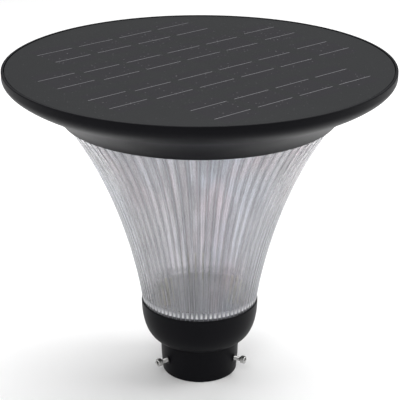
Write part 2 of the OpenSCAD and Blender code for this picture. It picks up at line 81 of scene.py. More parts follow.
class Value:
    """A number in a material's graph. Arithmetic on it adds Math nodes."""

    def __init__(self, graph: "Graph", socket: bpy.types.NodeSocket) -> None:
        """Wraps an output socket.

        Args:
            graph: The graph that the socket belongs to.
            socket: The output socket that holds the number.
        """
        self.graph = graph
        self.socket = socket

    def __add__(self, other: "Number") -> "Value":
        """The sum."""
        return self.graph.math("ADD", self, other)

    def __radd__(self, other: "Number") -> "Value":
        """The sum, with the number first."""
        return self.graph.math("ADD", other, self)

    def __sub__(self, other: "Number") -> "Value":
        """The difference."""
        return self.graph.math("SUBTRACT", self, other)

    def __rsub__(self, other: "Number") -> "Value":
        """The difference, with the number first."""
        return self.graph.math("SUBTRACT", other, self)

    def __mul__(self, other: "Number") -> "Value":
        """The product."""
        return self.graph.math("MULTIPLY", self, other)

    def __rmul__(self, other: "Number") -> "Value":
        """The product, with the number first."""
        return self.graph.math("MULTIPLY", other, self)

    def __truediv__(self, other: "Number") -> "Value":
        """The quotient."""
        return self.graph.math("DIVIDE", self, other)

    def __abs__(self) -> "Value":
        """The size without its sign."""
        return self.graph.math("ABSOLUTE", self)

    def part(self) -> "Value":
        """The part after the decimal point, from 0 to 1."""
        return self.graph.math("FRACT", self)

    def most(self, other: "Number") -> "Value":
        """The larger of the two."""
        return self.graph.math("MAXIMUM", self, other)

    def ramp(self, low: float, high: float) -> "Value":
        """A smooth step.

        Args:
            low: Where the step is 0.
            high: Where the step is 1.

        Returns:
            The step's height at this value.
        """
        inputs = {"Value": self, "From Min": low, "From Max": high, "To Min": 0.0, "To Max": 1.0}
        made = self.graph.node("ShaderNodeMapRange", {"interpolation_type": "SMOOTHSTEP"}, inputs)
        return Value(self.graph, made.outputs["Result"])

    def within(self, half: float, edge: float) -> "Value":
        """1 where the size of this value is under half, and 0 past it.

        Args:
            half: Half the width of the band.
            edge: The width of the soft edge.

        Returns:
            The band's mask.
        """
        return 1.0 - abs(self).ramp(half - edge, half + edge)


Number = Union[Value, float]
Feed = Union[Value, bpy.types.NodeSocket, float, Sequence[float]]
Rgb = tuple[float, float, float]


class Graph:
    """The node graph of one material, which ends in a Principled shader."""

    def __init__(self, name: str) -> None:
        """Starts a material with its shader and its Object coordinates.

        Args:
            name: The material's name.
        """
        self.material = bpy.data.materials.new(name)
        self.material.use_nodes = True
        self.tree = self.material.node_tree
        self.tree.nodes.clear()
        self.shader = self.node("ShaderNodeBsdfPrincipled")
        self.output = self.node("ShaderNodeOutputMaterial")
        self.tree.links.new(self.shader.outputs["BSDF"], self.output.inputs["Surface"])
        self.place = self.node("ShaderNodeTexCoord").outputs["Object"]

    def node(self, kind: str, settings: dict | None = None, inputs: dict | None = None) -> bpy.types.Node:
        """Makes one node.

        Args:
            kind: The node's Blender type.
            settings: Its settings, which are set before its sockets.
            inputs: Values or links, by socket name or number.

        Returns:
            The node.
        """
        made = self.tree.nodes.new(kind)
        for key, value in (settings or {}).items():
            setattr(made, key, value)
        for key, value in (inputs or {}).items():
            self.feed(made.inputs[key], value)
        return made

    def feed(self, socket: bpy.types.NodeSocket, value: Feed) -> None:
        """Links a value to a socket, or sets the socket to a constant.

        Args:
            socket: The input socket.
            value: What goes into it.
        """
        if isinstance(value, Value):
            self.tree.links.new(value.socket, socket)
        elif isinstance(value, bpy.types.NodeSocket):
            self.tree.links.new(value, socket)
        else:
            socket.default_value = value

    def math(self, operation: str, *terms: Number) -> Value:
        """A Math node on one or two numbers.

        Args:
            operation: The node's operation.
            terms: The numbers.

        Returns:
            Its result.
        """
        made = self.node("ShaderNodeMath", {"operation": operation}, dict(enumerate(terms)))
        return Value(self, made.outputs[0])

    def axes(self) -> tuple[Value, Value, Value]:
        """The X, Y and Z of the Object coordinates, in metres."""
        made = self.node("ShaderNodeSeparateXYZ", None, {"Vector": self.place})
        return tuple(Value(self, made.outputs[i]) for i in range(3))

    def noise(self, scale: float, detail: float = 2.0, stretch: Rgb | None = None,
              where: bpy.types.NodeSocket | None = None) -> Value:
        """Fractal noise from 0 to 1 on the Object coordinates, or on another vector.

        Args:
            scale: Its cells per metre.
            detail: Its octaves.
            stretch: How much each axis is scaled first, or None.
            where: The other vector, or None.

        Returns:
            The noise.
        """
        where = where or self.place
        if stretch:
            where = self.node("ShaderNodeMapping", None, {"Vector": where, "Scale": stretch}).outputs[0]
        inputs = {"Vector": where, "Scale": scale, "Detail": detail}
        return Value(self, self.node("ShaderNodeTexNoise", None, inputs).outputs["Fac"])

    def cells(self, scale: float) -> tuple[Value, Value]:
        """Scattered points on the Object coordinates.

        Args:
            scale: Points per metre.

        Returns:
            The distance to the nearest point in cells, and a random number from 0 to 1 for that point.
        """
        made = self.node("ShaderNodeTexVoronoi", None, {"Vector": self.place, "Scale": scale})
        parts = self.node("ShaderNodeSeparateColor", None, {"Color": made.outputs["Color"]})
        return Value(self, made.outputs["Distance"]), Value(self, parts.outputs[0])

    def blend(self, share: Number, first: Feed, second: Feed) -> bpy.types.NodeSocket:
        """Mixes two colours.

        Args:
            share: How much of the second colour there is.
            first: The first colour.
            second: The second colour.

        Returns:
            The mixed colour's socket.
        """
        inputs = {0: share, 6: opaque(first), 7: opaque(second)}
        return self.node("ShaderNodeMix", {"data_type": "RGBA"}, inputs).outputs[2]

    def bump(self, height: Value, depth: float, strength: float = 1.0) -> None:
        """Feeds a Bump node to the shader's Normal.

        Args:
            height: The height from 0 to 1.
            depth: What a height of 1 stands for, in metres.
            strength: The node's strength.
        """
        inputs = {"Height": height, "Distance": depth, "Strength": strength}
        self.feed(self.shader.inputs["Normal"], self.node("ShaderNodeBump", None, inputs).outputs[0])

    def mix_in(self, other: bpy.types.Node, share: Number) -> None:
        """Mixes a second shader into the material's own.

        Args:
            other: The second shader's node.
            share: How much of it there is.
        """
        inputs = {0: share, 1: self.shader.outputs[0], 2: other.outputs[0]}
        mixed = self.node("ShaderNodeMixShader", None, inputs)
        self.tree.links.new(mixed.outputs[0], self.output.inputs["Surface"])

    def dress(self, **sockets: Feed) -> bpy.types.Material:
        """Sets the shader's sockets.

        Args:
            sockets: Values by socket name, with underscores for spaces.

        Returns:
            The finished material.
        """
        for name, value in sockets.items():
            self.feed(self.shader.inputs[name.replace("_", " ")], value)
        return self.material


def opaque(colour: Feed) -> Feed:
    """A colour of three numbers with an alpha of 1 added; anything else as it is."""
    return (*colour, 1.0) if isinstance(colour, tuple) and len(colour) == 3 else colour


def scaled(colour: Rgb, share: float) -> Rgb:
    """A colour made lighter or darker by a share."""
    return tuple(c * share for c in colour)


# ---------------------------------------------------------------------------
# Finishes
# ---------------------------------------------------------------------------

@dataclass(frozen=True)
class Coat:
    """A powder coat or paint: a low orange-peel bump, with the gloss and tone drifting a little."""

    name: str
    colour: Rgb
    gloss: float = 0.42
    peel: float = 0.03 * MM
    sheen: float = 0.5

    def material(self) -> bpy.types.Material:
        """The coat's material: two close tones by broad noise, and an orange-peel bump by fine noise.

        Returns:
            The material.
        """
        g = Graph(self.name)
        drift = g.noise(18.0, 3.0)
        grain = g.noise(900.0, 2.0)
        speck = g.noise(2600.0, 1.0)
        colour = g.blend(drift, scaled(self.colour, 0.85), scaled(self.colour, 1.15))
        g.bump(grain * 0.7 + speck * 0.3, self.peel)
        rough = self.gloss - 0.04 + 0.05 * drift + 0.04 * grain
        return g.dress(Base_Color=colour, Roughness=rough, Specular_IOR_Level=self.sheen)


@dataclass(frozen=True)
class Metal:
    """Turned or drawn metal: fine lines along one axis, drifting in tone and gloss."""

    name: str
    colour: Rgb
    gloss: float = 0.3
    stretch: Rgb = (1.0, 1.0, 12.0)

    def material(self) -> bpy.types.Material:
        """The metal's material: fine stretched noise turns the gloss, the tone and a shallow bump.

        Returns:
            The material.
        """
        g = Graph(self.name)
        lines = g.noise(700.0, 3.0, self.stretch)
        drift = g.noise(90.0, 2.0)
        colour = g.blend(drift * 0.6 + lines * 0.4, scaled(self.colour, 0.78), self.colour)
        g.bump(lines, 0.01 * MM, 0.5)
        rough = self.gloss - 0.06 + 0.1 * lines + 0.06 * drift
        return g.dress(Base_Color=colour, Metallic=1.0, Roughness=rough)


@dataclass(frozen=True)
class Moulded:
    """Moulded plastic, rubber or silicone: a spark-eroded grain under a tone that drifts."""

    name: str
    colour: Rgb
    gloss: float = 0.5
    grain: float = 0.015 * MM

    def material(self) -> bpy.types.Material:
        """The plastic's material: two tones by broad noise, with a fine grain.

        Returns:
            The material.
        """
        g = Graph(self.name)
        drift = g.noise(40.0, 2.0)
        fine = g.noise(1800.0, 2.0)
        colour = g.blend(drift, scaled(self.colour, 0.82), scaled(self.colour, 1.1))
        g.bump(fine, self.grain)
        return g.dress(Base_Color=colour, Roughness=self.gloss - 0.05 + 0.1 * fine)


@dataclass(frozen=True)
class ClearPlastic:
    """Clear polycarbonate: refracting, with an even haze, a painted highlight in the flutes' valleys, on
    their crests and on their tips, painted shade on their flanks, darker on some flutes than on others, and
    with a breath of colour where it is stressed."""

    name: str
    flutes: int = FLUTES
    tint: Rgb = (0.93, 0.92, 0.935)
    cool: Rgb = (0.83, 0.88, 0.97)
    warm: Rgb = (0.98, 0.86, 0.90)
    # The mixed-in diffuse shader's grey: an even haze, and a painted highlight in the valleys and on the
    # crests.
    haze_and_highlight_grey: Rgb = (0.42, 0.43, 0.47)
    # The white of the painted highlight on the flutes' tips.
    white: Rgb = (0.95, 0.95, 0.96)
    haze: float = 0.10
    # How much painted highlight is mixed into the valleys and onto the crests.
    painted_valley_highlight_share: float = 0.5
    painted_crest_highlight_share: float = 0.08
    # How much painted highlight is mixed onto the flutes' tips.
    painted_tip_highlight_share: float = 0.95
    shade: float = 0.20
    # How much painted shade darkens the flutes' flanks.
    painted_flank_shade_share: float = 0.85
    streak_share: float = 0.4
    tips: tuple[float, float, float] = (0.1030, 0.1045, 0.1170)
    gloss: float = 0.07
    ior: float = 1.33
    clear: float = 0.85

    def hue(self, g: Graph) -> bpy.types.NodeSocket:
        """The plastic's own colour: the tint, cooler in broad pools and warmer where noise stands high.

        Args:
            g: The material's graph.

        Returns:
            The colour's socket.
        """
        stress = g.noise(16.0, 2.0, (1.0, 1.0, 0.35))
        pool = g.noise(9.0, 1.0, (1.0, 1.0, 0.5))
        cooled = g.blend(pool.ramp(0.35, 0.7), self.tint, self.cool)
        return g.blend(stress.ramp(0.52, 0.75), cooled, self.warm)

    def streak(self, g: Graph, x: Value, y: Value, z: Value) -> Value:
        """Darker bands that run along the flutes: noise on the direction from the axis, and on the height.

        Args:
            g: The material's graph.
            x: The X coordinate.
            y: The Y coordinate.
            z: The height.

        Returns:
            The bands' mask.
        """
        radius = g.math("SQRT", x * x + y * y)
        around = g.node("ShaderNodeCombineXYZ", None, {0: x / radius, 1: y / radius, 2: z}).outputs[0]
        return g.noise(9.0, 2.0, where=around).ramp(0.42, 0.62)

    def material(self) -> bpy.types.Material:
        """The lens's material.

        The place across a flute runs from 0 on its crest to 1 in the valley beside it, by the angle round
        the axis. It paints shade on the flanks, and sets how much of a pale diffuse shader is mixed in: a
        little everywhere as an even haze, more in the valleys and on the crests as a painted highlight, and
        most on the flutes' tips, by the height, as a white painted highlight.

        Returns:
            The material.
        """
        g = Graph(self.name)
        x, y, z = g.axes()
        turn = g.math("ARCTAN2", y, x) * (self.flutes / (2 * math.pi))
        across = abs((turn.part() - 0.5) * 2.0)
        valley = across.ramp(0.82, 0.96)
        crest = 1.0 - across.ramp(0.05, 0.2)
        patches = 0.35 + 0.65 * g.noise(45.0, 1.0, (1.0, 1.0, 0.2))
        # Painted shade: the flanks between crest and valley are darkened in the colour.
        painted_flank_shade = across.ramp(0.30, 0.72) * (1.0 - valley) * patches
        foot, peak, end = self.tips
        tip = z.ramp(foot, peak) * (1.0 - z.ramp(peak, end))
        # Painted highlight: the flutes' tips, just above the foot, are lit white by the mixed-in diffuse
        # shader.
        painted_tip_highlight = tip * (1.0 - across.ramp(0.30, 0.70)) * (0.55 + 0.45 * g.noise(30.0, 1.0))
        flow = g.noise(120.0, 2.0, (1.0, 1.0, 0.2))
        g.bump(flow, 0.05 * MM, 0.6)
        dark = scaled(self.tint, self.shade)
        streaked = g.blend(self.streak(g, x, y, z) * self.streak_share, self.hue(g), dark)
        # The painted flank shade goes into the colour here.
        colour_with_painted_shade = g.blend(painted_flank_shade * self.painted_flank_shade_share, streaked, dark)
        rough = self.gloss - 0.02 + 0.04 * flow
        g.dress(Base_Color=colour_with_painted_shade, Roughness=rough, IOR=self.ior, Transmission_Weight=1.0, Alpha=self.clear)
        # The mixed-in diffuse shader is grey for the haze and the painted valley and crest highlights, and
        # white for the painted tip highlight.
        bright = g.blend(painted_tip_highlight, self.haze_and_highlight_grey, self.white)
        haze_and_highlight_shader = g.node("ShaderNodeBsdfPrincipled", None, {"Base Color": bright, "Roughness": 0.5})
        # An even haze, with painted highlights in the valleys and on the crests; the painted tip highlight
        # wins where it is larger.
        haze_and_highlight_share = self.haze + self.painted_valley_highlight_share * valley + self.painted_crest_highlight_share * crest
        g.mix_in(haze_and_highlight_shader, haze_and_highlight_share.most(self.painted_tip_highlight_share * painted_tip_highlight))
        return g.material


@dataclass(frozen=True)
class PanelFace:
    """The disc's textured front sheet, with its cells and busbars showing through it."""

    name: str
    angle: float = math.radians(STRING_ANGLE)
    pitch: tuple[float, float] = (64.5 * MM, 97.3 * MM)
    shift: tuple[float, float] = (-4.5 * MM, -5.5 * MM)
    ends: tuple[float, float] = (164 * MM, 48.8 * MM)
    cell: tuple[float, float] = (52 * MM, 78 * MM)
    cell_edge: float = 0.4 * MM
    busbar_gap: float = 39 * MM
    busbar: tuple[float, float] = (53 * MM, 0.8 * MM)
    busbar_edge: float = 0.25 * MM
    sheet: Rgb = (0.0122, 0.0129, 0.0140)
    silicon: Rgb = (0.0124, 0.0119, 0.0146)
    silver: Rgb = (0.22, 0.22, 0.23)
    speck: Rgb = (0.13, 0.13, 0.135)

    def cell_marks(self, g: Graph, along: Value, across: Value) -> tuple[Value, Value]:
        """Masks of one family of cells.

        Args:
            g: The material's graph.
            along: Distance from the nearest cell's centre along its busbars.
            across: The same across them.

        Returns:
            The cells' mask and the busbars' mask.
        """
        edge = self.cell_edge
        cell = along.within(self.cell[0] / 2, edge) * across.within(self.cell[1] / 2, edge)
        line = (abs(across) - self.busbar_gap / 2).within(self.busbar[1] / 2, self.busbar_edge)
        return cell, line * along.within(self.busbar[0] / 2, edge)

    def material(self) -> bpy.types.Material:
        """The sheet's material.

        The coordinates are turned to the strings' angle. A block of four by four cells repeats at the
        pitch, and one pair of cells stands at each end of the middle strings. Scattered points give the
        light specks in the cells, and fine noise the matt texture.

        Returns:
            The material.
        """
        g = Graph(self.name)
        x, y, _ = g.axes()
        turn, rise = math.cos(self.angle), math.sin(self.angle)
        along = x * turn + y * rise
        across = y * turn - x * rise
        block_a, block_b = along - self.shift[0], across - self.shift[1]
        near_a = ((block_a / self.pitch[0]).part() - 0.5) * self.pitch[0]
        near_b = ((block_b / self.pitch[1]).part() - 0.5) * self.pitch[1]
        block = block_a.within(2 * self.pitch[0], MM) * block_b.within(2 * self.pitch[1], MM)
        cell, line = self.cell_marks(g, near_a, near_b)
        end_cell, end_line = self.cell_marks(g, abs(along) - self.ends[0], abs(across) - self.ends[1])
        cells = (cell * block).most(end_cell)
        lines = (line * block).most(end_line)
        near, chance = g.cells(230.0)
        specks = (1.0 - near.ramp(0.10, 0.22)) * chance.ramp(0.70, 0.80) * (0.35 + 0.65 * cells)
        drift = g.noise(14.0, 3.0)
        grain = g.noise(1300.0, 2.0)
        fade = 0.55 + 0.45 * g.noise(35.0, 2.0)
        sheet = g.blend(drift, scaled(self.sheet, 0.9), scaled(self.sheet, 1.1))
        body = g.blend(cells, sheet, self.silicon)
        dotted = g.blend(specks * 0.8, body, self.speck)
        g.bump(grain, 0.03 * MM)
        colour = g.blend(lines * fade, dotted, self.silver)
        return g.dress(Base_Color=colour, Roughness=0.44 + 0.1 * grain, Specular_IOR_Level=0.082)


@dataclass(frozen=True)
class Silicon:
    """A bare cell: blue-black, with fine silver fingers across it."""

    name: str
    angle: float = math.radians(STRING_ANGLE)
    finger_pitch: float = 1.6 * MM
    dark: Rgb = (0.008, 0.01, 0.03)
    light: Rgb = (0.014, 0.017, 0.045)
    silver: Rgb = (0.5, 0.5, 0.5)

    def material(self) -> bpy.types.Material:
        """The cell's material: fingers at a fixed pitch across the turned coordinates.

        Returns:
            The material.
        """
        g = Graph(self.name)
        x, y, _ = g.axes()
        along = x * math.cos(self.angle) + y * math.sin(self.angle)
        fingers = ((along / self.finger_pitch).part() - 0.5).within(0.06, 0.03)
        colour = g.blend(g.noise(60.0), self.dark, self.light)
        printed = g.blend(fingers, colour, self.silver)
        return g.dress(Base_Color=printed, Roughness=0.3 + 0.1 * g.noise(500.0))


@dataclass(frozen=True)
class CircuitBoard:
    """A printed board: solder mask over straight tracks, with small pads."""

    name: str
    mask: Rgb
    track: Rgb
    pitch: float = 2.54 * MM
    solder: Rgb = (0.6, 0.58, 0.52)

    def material(self) -> bpy.types.Material:
        """The board's material: tracks at the pitch where noise allows them, and scattered pads.

        Returns:
            The material.
        """
        g = Graph(self.name)
        x, y, _ = g.axes()
        wide = g.noise(60.0, 1.0).ramp(0.45, 0.5)
        rows = ((x / self.pitch).part() - 0.5).within(0.16, 0.04) * wide
        columns = ((y / self.pitch).part() - 0.5).within(0.16, 0.04) * (1.0 - wide)
        near, chance = g.cells(260.0)
        pads = (1.0 - near.ramp(0.16, 0.2)) * chance.ramp(0.6, 0.65)
        board = g.blend(rows.most(columns), self.mask, self.track)
        colour = g.blend(pads, board, self.solder)
        g.bump(rows.most(columns), 0.03 * MM)
        return g.dress(Base_Color=colour, Roughness=0.35 + 0.15 * pads)


@dataclass(frozen=True)
class Wrap:
    """Heat-shrink wrap on a cell, with a pale ring at its end and a fine wrinkle."""

    name: str
    colour: Rgb
    band: Rgb
    cell_at: float = 37 * MM
    ring_at: float = 33.5 * MM
    ring_w: float = 1.6 * MM

    def material(self) -> bpy.types.Material:
        """The wrap's material: a ring near each end of each cell along X, and wrinkles by stretched noise.

        Returns:
            The material.
        """
        g = Graph(self.name)
        x, _, _ = g.axes()
        ring = (abs(abs(x) - self.cell_at) - self.ring_at).within(self.ring_w / 2, 0.2 * MM)
        wrinkle = g.noise(160.0, 3.0, (3.0, 1.0, 1.0))
        colour = g.blend(wrinkle, scaled(self.colour, 0.8), self.colour)
        g.bump(wrinkle, 0.05 * MM)
        return g.dress(Base_Color=g.blend(ring, colour, self.band), Roughness=0.3 + 0.1 * wrinkle)


@dataclass(frozen=True)
class Phosphor:
    """An LED chip: yellow phosphor, a little uneven."""

    name: str
    dark: Rgb = (0.72, 0.58, 0.10)
    light: Rgb = (0.86, 0.78, 0.22)

    def material(self) -> bpy.types.Material:
        """The chip's material: yellow, mottled by fine noise.

        Returns:
            The material.
        """
        g = Graph(self.name)
        mottle = g.noise(1500.0, 2.0)
        colour = g.blend(mottle, self.dark, self.light)
        return g.dress(Base_Color=colour, Roughness=0.35 + 0.2 * mottle)


class Palette(Enum):
    """Every finish on the lamp."""

    BLACK_COAT = Coat("black_coat", (0.0048, 0.0048, 0.0062), 0.42, 0.02 * MM, 0.06)
    PALE_COAT = Coat("pale_coat", (0.85, 0.85, 0.87), 0.45)
    WHITE_COAT = Coat("white_coat", (0.78, 0.78, 0.77), 0.5)
    LENS = ClearPlastic("clear_lens")
    PANEL = PanelFace("panel_face")
    STAINLESS = Metal("stainless_steel", (0.56, 0.56, 0.55), 0.28)
    BLACK_STEEL = Metal("blackened_steel", (0.035, 0.035, 0.037), 0.45)
    BRIGHT = Metal("bright_plating", (0.88, 0.88, 0.88), 0.14)
    BRASS = Metal("yellow_zinc", (0.80, 0.80, 0.62), 0.36)
    NICKEL = Metal("nickel_strip", (0.58, 0.56, 0.5), 0.3, (1.0, 8.0, 1.0))
    ALUMINIUM = Metal("plain_aluminium", (0.62, 0.63, 0.64), 0.4, (8.0, 1.0, 1.0))
    RIBBON = Metal("tinned_ribbon", (0.66, 0.66, 0.66), 0.3, (4.0, 4.0, 1.0))
    BLACK_PLASTIC = Moulded("black_plastic", (0.016, 0.016, 0.018))
    ENCAPSULANT = Moulded("encapsulant_film", (0.035, 0.035, 0.04), 0.4)
    SILICONE = Moulded("black_silicone", (0.01, 0.01, 0.01), 0.65)
    RUBBER = Moulded("button_rubber", (0.02, 0.02, 0.022), 0.6)
    NYLON = Moulded("natural_nylon", (0.68, 0.66, 0.58), 0.45)
    RED_SLEEVE = Moulded("wire_sleeve", (0.42, 0.03, 0.025), 0.4)
    SILICON = Silicon("bare_silicon")
    GREEN_BOARD = CircuitBoard("green_board", (0.012, 0.09, 0.035), (0.03, 0.16, 0.07))
    WHITE_BOARD = CircuitBoard("white_board", (0.76, 0.75, 0.71), (0.66, 0.65, 0.62), 9.0 * MM)
    WRAP = Wrap("cell_wrap", (0.03, 0.13, 0.36), (0.75, 0.76, 0.78))
    PHOSPHOR = Phosphor("phosphor")


MADE: dict[Palette, bpy.types.Material] = {}


def finish(choice: Palette) -> bpy.types.Material:
    """The material of a finish, made once.

    Args:
        choice: The finish.

    Returns:
        Its material.
    """
    if choice not in MADE:
        MADE[choice] = choice.value.material()
    return MADE[choice]


# ---------------------------------------------------------------------------
# Surfaces
# ---------------------------------------------------------------------------

@dataclass
class Surface:
    """Points and four-sided faces. At a pole the corners coincide, and the mesh welds them."""

    points: np.ndarray
    faces: np.ndarray

    def __add__(self, other: "Surface") -> "Surface":
        """Both surfaces as one."""
        return Surface(np.vstack([self.points, other.points]),
                       np.vstack([self.faces, other.faces + len(self.points)]))

    def moved(self, turn: np.ndarray, shift: Sequence[float] = (0.0, 0.0, 0.0)) -> "Surface":
        """The surface turned and then shifted.

        Args:
            turn: A 3 by 3 matrix.
            shift: The shift.

        Returns:
            The moved surface.
        """
        return Surface(self.points @ turn.T + np.array(shift), self.faces)


def grid(points: np.ndarray, close_rows: bool) -> Surface:
    """A surface on a grid of points whose columns always close on themselves.

    Args:
        points: Rows by columns by 3.
        close_rows: Whether the last row joins the first.

    Returns:
        The surface.
    """
    rows, columns = points.shape[:2]
    i = np.arange(rows if close_rows else rows - 1)[:, None]
    j = np.arange(columns)[None, :]
    below, beside = (i + 1) % rows, (j + 1) % columns
    corners = [i * columns + j, i * columns + beside, below * columns + beside, below * columns + j]
    faces = np.stack(np.broadcast_arrays(*corners), axis=-1).reshape(-1, 4)
    return Surface(points.reshape(-1, 3), faces)


def revolve(outline: np.ndarray, count: int, ripple: Callable | None = None, close: bool = True) -> Surface:
    """Turns an outline about Z: point (r, z) goes to (r cos a, r sin a, z) at each of count angles.

    Args:
        outline: Rows of (r, z).
        count: How many angles there are.
        ripple: Adds to the radius, from arrays of row number and angle.
        close: Whether the outline is closed.

    Returns:
        The surface of revolution.
    """
    angle = np.arange(count)[None, :] * 2 * np.pi / count
    row = np.arange(len(outline))[:, None]
    radius = outline[:, :1] + (ripple(row, angle) if ripple else 0.0 * angle)
    height = np.broadcast_to(outline[:, 1:], radius.shape)
    return grid(np.stack([radius * np.cos(angle), radius * np.sin(angle), height], axis=-1), close)


def bezier(*controls: Sequence[float], steps: int) -> np.ndarray:
    """A Bezier curve through its first and last controls: each point is the controls' average, weighted by
    the Bernstein polynomials of the curve's parameter.

    Args:
        controls: Three or four points.
        steps: How many steps there are.

    Returns:
        Rows of points, steps + 1 of them.
    """
    t = np.linspace(0, 1, steps + 1)[:, None]
    n = len(controls) - 1
    return sum(math.comb(n, k) * (1 - t) ** (n - k) * t ** k * np.array(c) for k, c in enumerate(controls))


def rounded(*corners: Sequence[float], steps: int = 4, close: bool = True) -> np.ndarray:
    """An outline whose corners are rounded. Each corner (r, z, radius) becomes a short quadratic curve
    that leaves its two sides at the radius's distance from the corner.

    Args:
        corners: The corners, and how much each is rounded.
        steps: Steps on each rounded corner.
        close: Whether the outline is closed.

    Returns:
        Rows of (r, z).
    """
    places = [np.array(c[:2]) for c in corners]
    parts = []
    for k, corner in enumerate(corners):
        here, size = places[k], (corner[2] if len(corner) > 2 else 0.0)
        if size == 0.0 or (not close and k in (0, len(corners) - 1)):
            parts.append(here[None, :])
            continue
        before, after = places[k - 1] - here, places[(k + 1) % len(corners)] - here
        start = here + before * min(0.49, size / np.linalg.norm(before))
        end = here + after * min(0.49, size / np.linalg.norm(after))
        parts.append(bezier(start, here, end, steps=steps))
    return np.vstack(parts)


def helix(radius: float, low: float, high: float, wire: float, turns: float = 5.0,
          flat: float = 0.6) -> Surface:
    """A compression spring: the wire's circle carried along a helix about Z. The height stays level for the
    flat turns at each end and rises evenly between them, and the ends close on the wire's middle.

    Args:
        radius: From the axis to the wire's middle.
        low: The height of the wire's middle at the lower end.
        high: The same at the upper end.
        wire: The wire's radius.
        turns: How many turns there are.
        flat: How many of them lie level at each end.

    Returns:
        The spring.
    """
    steps, sides = 180, 10
    turn = np.linspace(0, turns, steps + 1)[:, None]
    turn = np.concatenate([turn[:1], turn, turn[-1:]])
    size = np.full(turn.shape, wire)
    size[[0, -1]] = 0.0
    rise = np.clip((turn - flat) / (turns - 2 * flat), 0, 1)
    section = np.arange(sides)[None, :] * 2 * np.pi / sides
    away = radius + size * np.cos(section)
    height = low + (high - low) * rise + size * np.sin(section)
    angle = 2 * np.pi * turn
    return grid(np.stack([away * np.cos(angle), away * np.sin(angle), height], axis=-1), False)


def regular(sides: int, across_flats: float, angle: np.ndarray) -> np.ndarray:
    """The radius of a regular polygon at each angle: half its width across the flats, over the cosine of
    the angle from the nearest flat's middle.

    Args:
        sides: How many sides it has.
        across_flats: Its width across the flats.
        angle: The angles.

    Returns:
        The radius at each angle.
    """
    sector = 2 * np.pi / sides
    return across_flats / 2 / np.cos((angle + sector / 2) % sector - sector / 2)


def put(name: str, data: bpy.types.ID) -> bpy.types.Object:
    """Puts a mesh, a light or a camera into the scene as an object at the origin.

    Args:
        name: The object's name.
        data: What it holds.

    Returns:
        The object.
    """
    made = bpy.data.objects.new(name, data)
    bpy.context.scene.collection.objects.link(made)
    return made


class Maker:
    """Turns surfaces into pieces, and keeps the names of what was made."""

    def __init__(self) -> None:
        """Starts with nothing made."""
        self.made: list[str] = []

    def mesh(self, name: str, surface: Surface) -> bpy.types.Mesh:
        """Puts a surface into a mesh, with its doubles welded and its faces outward.

        Args:
            name: The mesh's name.
            surface: A closed surface.

        Returns:
            The mesh.
        """
        mesh = bpy.data.meshes.new(name)
        mesh.from_pydata(surface.points.tolist(), [], surface.faces.tolist())
        work = bmesh.new()
        work.from_mesh(mesh)
        bmesh.ops.remove_doubles(work, verts=work.verts, dist=WELD)
        bmesh.ops.recalc_face_normals(work, faces=work.faces)
        work.to_mesh(mesh)
        work.free()
        return mesh

    def smooth(self, made: bpy.types.Object, crease: float) -> None:
        """Shades a piece smooth, apart from the edges that bend more than the crease, in degrees."""
        made.data.shade_smooth()
        made.data.set_sharp_from_angle(angle=math.radians(crease))

    def piece(self, name: str, surface: Surface, choice: Palette, body: str = LAMP_BODY, slot: str = "",
              stands_for: Sequence[str] = (), crease: float = CREASE) -> bpy.types.Object:
        """Makes one piece.

        Args:
            name: The piece's name.
            surface: Its shape.
            choice: Its finish.
            body: The CAD body that it moves with.
            slot: The record's material slot. It is not used.
            stands_for: The CAD nodes that it replaces.
            crease: The angle, in degrees, past which an edge is sharp.

        Returns:
            The piece.
        """
        made = put(name, self.mesh(name, surface))
        made.data.materials.append(finish(choice))
        self.smooth(made, crease)
        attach(made, body)
        if stands_for:
            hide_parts(*stands_for)
        self.made.append(name)
        log.info("%s: %d faces on %s", name, len(made.data.polygons), body)
        return made

    def drill(self, made: bpy.types.Object, cutter: Surface) -> None:
        """Cuts a closed surface out of a piece, for good.

        Args:
            made: The piece.
            cutter: What is cut away.
        """
        tool = put("drill", self.mesh("drill", cutter))
        cut = made.modifiers.new("drill", "BOOLEAN")
        cut.operation = "DIFFERENCE"
        cut.solver = "EXACT"
        cut.object = tool
        bpy.context.view_layer.update()
        evaluated = made.evaluated_get(bpy.context.evaluated_depsgraph_get())
        drilled = bpy.data.meshes.new_from_object(evaluated)
        made.modifiers.clear()
        made.data = drilled
        bpy.data.objects.remove(tool)
        self.smooth(made, CREASE)


def radial(angle: float) -> np.ndarray:
    """The matrix that lays local Z outwards along a horizontal angle, with local Y upwards.

    Args:
        angle: The angle from +X.

    Returns:
        A 3 by 3 matrix.
    """
    return np.array([[-math.sin(angle), 0.0, math.cos(angle)],
                     [math.cos(angle), 0.0, math.sin(angle)],
                     [0.0, 1.0, 0.0]])


# ---------------------------------------------------------------------------
# Sub-assemblies
# ---------------------------------------------------------------------------

